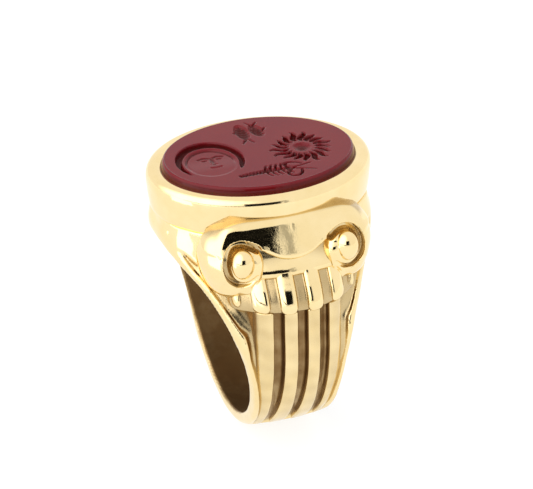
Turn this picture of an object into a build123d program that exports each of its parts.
"""Signet ring with Ionic-capital shoulders, built up from separately made gold pieces and one engraved stone.

Frame: millimetres, +Z up through the stone, +Y along the finger, +X towards the right shoulder.
The origin is the centre of the finger hole.
"""

import os

from build123d import *

# ---- driving dimensions ---------------------------------------------------------------------
BORE_R = 9.45            # finger hole, 18.9 mm across
HOOP_R = 10.9            # outside of the hoop at its rails and at the bottom
BED_R = 10.25            # floor on which the fluted columns lie
RAIL_W = 0.95            # width of the raised rail along each edge of the hoop
BED_TOP = 8.6            # height at which the beds run out under the capitals
FLUTE_END = -51.0        # angle, from +X, at which the columns stop

HEAD_TOP = 12.3          # plane on which the bezel stands
STONE_A, STONE_B = 9.0, 7.0       # half-axes of the stone's girdle, along Y and along X
STONE_TOP = 16.0
STONE_BEVEL = 0.45       # how far the stone draws in from its girdle to its flat top
STONE_SEAT = 13.1        # top of the bearing, underside of the stone
BEZEL_FOOT = 0.95        # bezel wall at its foot, set back to leave a fine groove over the head
BEZEL_WALL = 1.40        # bezel wall where it is widest
BEZEL_WIDEST = 14.5
BEZEL_TOP = 15.5
SETTING_GAP = 0.02       # room between stone and bezel
ENGRAVING = 0.35         # depth of the intaglio

COLUMN_X = 11.75         # front of a column where it stands upright
COLUMN_HALF = 4.15       # half-width of a column
COLUMN_R = 8.0           # plan radius of a column's rounded front
COLUMN_TOP = 5.45
COLUMN_BEND = 1.5        # height at which the column starts to follow the hoop
COLUMN_CURVE = 12.73     # radius of the curve that leads a column down to the hoop
FLUTE_PITCH, FLUTE_W, FLUTE_DEPTH = 2.14, 0.92, 0.8

NECK_TOP = 8.7           # top of the reeded necking
NECK_HALF = 5.9
NECK_R = 7.6             # plan radius of the necking's front
REED_PROUD = 0.35
ECHINUS_TOP = 11.7
ECHINUS_HALF = 3.4

SCROLL_TOP = 13.75
EYE_Y, EYE_Z = 4.9, 10.45         # centre of a volute's eye
EYE_A, EYE_B = 1.0, 1.4           # half-axes of the eye, across and up
EYE_FLOOR = 9.2          # bottom of the pocket that holds the eye
EYE_FRONT = 10.45
GROOVE_W = 0.55
GROOVE_FLOOR = 9.5

os.makedirs("parts", exist_ok=True)
pieces = []


def keep(piece, name):
    """Labels a finished piece and adds it to those written out."""
    piece.label = name
    pieces.append(piece)


def keep_pair(piece, name):
    """Keeps a piece of the right shoulder, and its mirror image as the left shoulder's."""
    keep(piece, name + "_right")
    keep(mirror(piece, about=Plane.YZ), name + "_left")


def oval(half_x, half_y, height):
    """An ellipse centred on the Z axis at a height."""
    with BuildSketch(Plane.XY.offset(height)) as sketch:
        Ellipse(half_x, half_y)
    return sketch.sketch


def front_outline(inset, low, high):
    """The hoop seen along X between two heights: flaring edges, drawn in by inset."""
    edge = [(3.8, -11.2), (3.85, -9.0), (4.05, -6.0), (4.4, -3.0), (5.0, 0.0), (6.0, 3.0),
            (7.05, 5.0), (8.3, 7.0), (9.7, 8.9), (10.45, 10.3), (10.3, 11.4), (10.05, 12.5)]
    with BuildSketch(Plane.YZ) as sketch:
        with BuildLine():
            flare = Spline(*[(y - inset, z) for y, z in edge])
            over = Line(flare @ 1, (0, edge[-1][1]))
            down = Line(over @ 1, (0, edge[0][1]))
            Line(down @ 1, flare @ 0)
        make_face()
        mirror(about=Plane.YZ)
        with Locations((0, (low + high) / 2)):
            Rectangle(24, high - low, mode=Mode.INTERSECT)
    return sketch.sketch


# ---- shank: hoop, rails, cheeks and head block in one casting ---------------------------------
with BuildPart() as envelope:
    loft([oval(13.0, 11.2, -12.0), oval(12.6, 11.2, 0.0), oval(9.9, 10.65, 7.0),
          oval(8.55, 10.5, 10.2), oval(8.12, 10.08, HEAD_TOP)])
    with BuildSketch(Plane.XZ):
        with BuildLine():
            hoop_arc = CenterArc((0, 0), HOOP_R, -90, 107)
            cheek = Line(hoop_arc @ 1, (8.6, 10.2))
            top_corner = Line(cheek @ 1, (8.15, 13))
            across = Line(top_corner @ 1, (0, 13))
            Line(across @ 1, hoop_arc @ 0)
        make_face()
        mirror(about=Plane.YZ)
    extrude(amount=12, both=True, mode=Mode.INTERSECT)
    extrude(front_outline(0, -11.2, HEAD_TOP), amount=14, both=True, mode=Mode.INTERSECT)

# the beds in which the columns lie, between the rails
with BuildPart() as beds:
    with BuildSketch(Plane.XZ):
        with BuildLine():
            bed_floor = CenterArc((0, 0), BED_R, FLUTE_END, 57.0 - FLUTE_END)
            Polyline(bed_floor @ 1, (14, BED_TOP), (14, -14), bed_floor @ 0)
        make_face()
        mirror(about=Plane.YZ)
    extrude(amount=12, both=True)
    extrude(front_outline(RAIL_W, -10.5, BED_TOP), amount=14, both=True, mode=Mode.INTERSECT)
with BuildPart() as core:
    add(envelope.part)
    add(beds.part, mode=Mode.SUBTRACT)
with BuildPart() as shank:
    add(core.part)
    with BuildSketch(Plane.XZ):
        Circle(BORE_R)
    extrude(amount=14, both=True, mode=Mode.SUBTRACT)
    extrude(oval(3.6, 6.4, 0), amount=HEAD_TOP + 1, mode=Mode.SUBTRACT)     # open back under the stone
keep(shank.part, "shank")

# ---- bezel, bearing and stone -----------------------------------------------------------------
with BuildPart() as bezel:
    with BuildSketch(Plane.XZ):
        with BuildLine():
            foot = Line((STONE_B, HEAD_TOP), (STONE_B + BEZEL_FOOT, HEAD_TOP))
            wall = Spline(foot @ 1, (STONE_B + 1.28, 13.2), (STONE_B + BEZEL_WALL, BEZEL_WIDEST),
                          (STONE_B + 1.1, BEZEL_TOP - 0.24), (STONE_B + 0.35, BEZEL_TOP), tangents=((0, 1), (-1, 0)))
            lip = Line(wall @ 1, (STONE_B, BEZEL_TOP - 0.03))
            Line(lip @ 1, foot @ 0)
        make_face()
    sweep(path=oval(STONE_B, STONE_A, HEAD_TOP).edges()[0])
keep(bezel.part, "bezel")

with BuildPart() as stone_seat:
    extrude(oval(STONE_B - 0.01, STONE_A - 0.01, HEAD_TOP), amount=STONE_SEAT - HEAD_TOP)
    extrude(oval(STONE_B - 1.1, STONE_A - 1.1, HEAD_TOP), amount=2, mode=Mode.SUBTRACT)
keep(stone_seat.part, "stone_seat")

with BuildPart() as stone:
    extrude(oval(STONE_B - SETTING_GAP, STONE_A - SETTING_GAP, STONE_SEAT), amount=BEZEL_TOP - STONE_SEAT)
    loft([oval(STONE_B - SETTING_GAP, STONE_A - SETTING_GAP, BEZEL_TOP),
          oval(STONE_B - STONE_BEVEL, STONE_A - STONE_BEVEL, STONE_TOP)])
    with BuildSketch(Plane.XY.offset(STONE_TOP)) as sun:
        with Locations((0, 4.17)):
            Circle(1.35)
            for ray in range(16):
                Polygon((0.9, -0.33), (2.6 + 0.15 * (ray % 2), 0), (0.9, 0.33), rotation=22.5 * ray, align=None)
    with BuildSketch(Plane.XY.offset(STONE_TOP)) as moon:
        with Locations((-0.35, -4.45)):
            Ellipse(3.65, 2.95)
        with Locations((0.75, -4.45)):
            Ellipse(3.05, 2.3, mode=Mode.SUBTRACT)
    with BuildSketch(Plane.XY.offset(STONE_TOP)) as fishes:
        for x, y, heading in ((-4.6, 0.2, 1), (-4.5, 1.6, -1)):
            with Locations((x, y)):
                Ellipse(1.25, 0.42)
                Polygon((1.0 * heading, 0), (2.1 * heading, 0.5), (2.1 * heading, -0.5), align=None)
    with BuildSketch(Plane.XY.offset(STONE_TOP)) as scorpion:
        with BuildLine() as spine:
            Polyline((3.4, -2.8), (3.1, -1.5), (3.2, 0.4), (3.5, 1.85))
        trace(line_width=0.45)
        with Locations((3.5, 1.6)):
            Ellipse(0.45, 0.75)
        for side in (-1, 1):
            with BuildLine():
                Polyline((3.5, 1.8), (3.6 + 0.85 * side, 2.3), (3.6 + 0.75 * side, 3.3))
            trace(line_width=0.25)
            for leg in range(3):
                with BuildLine():
                    Line((3.2, 0.1 + 0.6 * leg), (3.3 + 0.95 * side, -0.35 + 0.6 * leg))
                trace(line_width=0.2)
    extrude(sun.sketch, amount=-ENGRAVING, mode=Mode.SUBTRACT)
    extrude(moon.sketch, amount=-ENGRAVING, mode=Mode.SUBTRACT)
    extrude(fishes.sketch, amount=-ENGRAVING, mode=Mode.SUBTRACT)
    extrude(scorpion.sketch, amount=-ENGRAVING, mode=Mode.SUBTRACT)
keep(stone.part, "stone")

# ---- fluted columns ---------------------------------------------------------------------------
with BuildPart() as column:
    with BuildLine(Plane.XZ) as column_path:
        Line((COLUMN_X, COLUMN_TOP), (COLUMN_X, COLUMN_BEND))
        CenterArc((COLUMN_X - COLUMN_CURVE, COLUMN_BEND), COLUMN_CURVE, 0, -51.8)
    with BuildSketch(Plane.XY.offset(COLUMN_TOP)):
        with Locations((COLUMN_X - COLUMN_R, 0)):
            Circle(COLUMN_R)
        with Locations((COLUMN_X - 1.5, 0)):
            Rectangle(3.0, 2 * COLUMN_HALF, mode=Mode.INTERSECT)
    sweep(path=column_path.wires()[0])
    with BuildSketch(Plane.XY.offset(COLUMN_TOP)):
        with GridLocations(0, FLUTE_PITCH, 1, 3):
            with Locations((COLUMN_X, 0)):
                Rectangle(3.0, FLUTE_W)
        with Locations((COLUMN_X - COLUMN_R, 0)):
            Circle(COLUMN_R - FLUTE_DEPTH, mode=Mode.SUBTRACT)
    sweep(path=column_path.wires()[0], mode=Mode.SUBTRACT)
    extrude(front_outline(RAIL_W, -10.5, BED_TOP), amount=14, both=True, mode=Mode.INTERSECT)
    add(core.part, mode=Mode.SUBTRACT)
keep_pair(column.part, "fluted_column")


# ---- capitals: necking, echinus, scroll and eyes ------------------------------------------------
def turned(profile, radius, front, half_width):
    """A front turned about an upright axis: it stands at x = front with a plan radius and a half-width."""
    heart = front - radius
    with BuildPart() as solid:
        with BuildSketch(Plane.XZ):
            with BuildLine():
                Spline(*profile)
                Polyline(profile[-1], (heart, profile[-1][1]), (heart, profile[0][1]), profile[0])
            make_face()
        revolve(axis=Axis((heart, 0, 0), (0, 0, 1)))
        with Locations((heart + 7, 0, 8)):
            Box(14, 2 * half_width, 16, mode=Mode.INTERSECT)
    return solid.part


reed_stock = turned([(11.75 + REED_PROUD, 5.6), (11.5 + REED_PROUD, 6.8), (10.95 + REED_PROUD, 7.8),
                     (10.5 + REED_PROUD, 8.5)], NECK_R + REED_PROUD, 11.75 + REED_PROUD, NECK_HALF)
with BuildPart() as reeds:
    with BuildSketch(Plane.YZ):
        for centre, width in ((1.23, 1.65), (3.6, 1.5), (5.6, 0.6)):
            with Locations((centre, 8.2), (-centre, 8.2)):
                RectangleRounded(width, 5.2, 0.29)
    extrude(amount=14)
    add(reed_stock, mode=Mode.INTERSECT)

neck_stock = turned([(11.75, COLUMN_TOP), (11.5, 6.6), (10.95, 7.7), (10.3, NECK_TOP)],
                    NECK_R, 11.75, NECK_HALF)
echinus_stock = turned([(10.62, NECK_TOP), (10.25, 9.2), (9.9, 9.9), (9.5, ECHINUS_TOP)],
                       12.0, 10.62, ECHINUS_HALF)

with BuildPart() as scroll:
    with BuildSketch(Plane.YZ):
        with BuildLine():
            brow = Spline((0, SCROLL_TOP), (3.5, 13.72), (6.2, 13.15), (7.75, 11.7), (8.1, 10.2),
                          (7.3, 8.0), (5.3, 6.8), (3.7, 7.9), (3.15, 9.7), (3.3, 10.9), (3.8, 11.8))
            lip = Spline(brow @ 1, (2.9, 11.25), (1.6, 10.1), (0, 9.55), tangents=((-1, -0.35), (-1, 0)))
            Line(lip @ 1, brow @ 0)
        make_face()
        mirror(about=Plane.YZ)
    extrude(amount=14)
    with BuildSketch(Plane.XZ):
        with BuildLine():
            face = Spline((8.45, SCROLL_TOP), (9.3, 12.7), (9.9, 11.5), (10.1, 10.3), (9.95, 8.4), (9.5, 6.7))
            Polyline(face @ 1, (5, 6.7), (5, SCROLL_TOP), face @ 0)
        make_face()
    extrude(amount=9, both=True, mode=Mode.INTERSECT)
    extrude(oval(11.0, 11.64, 6), amount=9, mode=Mode.INTERSECT)
    for side in (-1, 1):
        with BuildSketch(Plane.YZ.offset(GROOVE_FLOOR)):
            with Locations((side * EYE_Y, EYE_Z)):
                Ellipse(EYE_A + GROOVE_W, EYE_B + GROOVE_W)
                Polygon((0, 0), (-side * 1.7, 2.2), (-side * 3.0, 0.5), (-side * 1.9, -1.9),
                        align=None, mode=Mode.SUBTRACT)
        extrude(amount=3, mode=Mode.SUBTRACT)
        with BuildSketch(Plane.YZ.offset(EYE_FLOOR)):
            with Locations((side * EYE_Y, EYE_Z)):
                Ellipse(EYE_A, EYE_B)
        extrude(amount=3, mode=Mode.SUBTRACT)
    add(core.part, mode=Mode.SUBTRACT)
    add(bezel.part, mode=Mode.SUBTRACT)
    extrude(oval(STONE_B + 0.5, STONE_A + 0.5, HEAD_TOP - 1), amount=4, mode=Mode.SUBTRACT)

with BuildPart() as eye:
    with BuildSketch(Plane.YZ.offset(EYE_FLOOR)):
        with Locations((EYE_Y, EYE_Z)):
            Ellipse(EYE_A - 0.01, EYE_B - 0.01)
    extrude(amount=EYE_FRONT - EYE_FLOOR)
    fillet(eye.edges().group_by(Axis.X)[-1], 0.6)
    add(core.part, mode=Mode.SUBTRACT)
front_eye = mirror(eye.part, about=Plane.XZ)

with BuildPart() as necking:
    add(neck_stock)
    add(reeds.part)
    add(core.part, mode=Mode.SUBTRACT)
    add(scroll.part, mode=Mode.SUBTRACT)
    add(column.part, mode=Mode.SUBTRACT)

with BuildPart() as echinus:
    add(echinus_stock)
    add(core.part, mode=Mode.SUBTRACT)
    add(scroll.part, mode=Mode.SUBTRACT)
    add(eye.part, mode=Mode.SUBTRACT)
    add(front_eye, mode=Mode.SUBTRACT)
    add(necking.part, mode=Mode.SUBTRACT)

keep_pair(necking.part, "necking")
keep_pair(echinus.part, "echinus")
keep_pair(scroll.part, "scroll")
keep_pair(eye.part, "eye_rear")
keep(front_eye, "eye_front_right")
keep(Rot(0, 0, 180) * eye.part, "eye_front_left")

for piece in pieces:
    export_step(piece, f"parts/{piece.label}.step")
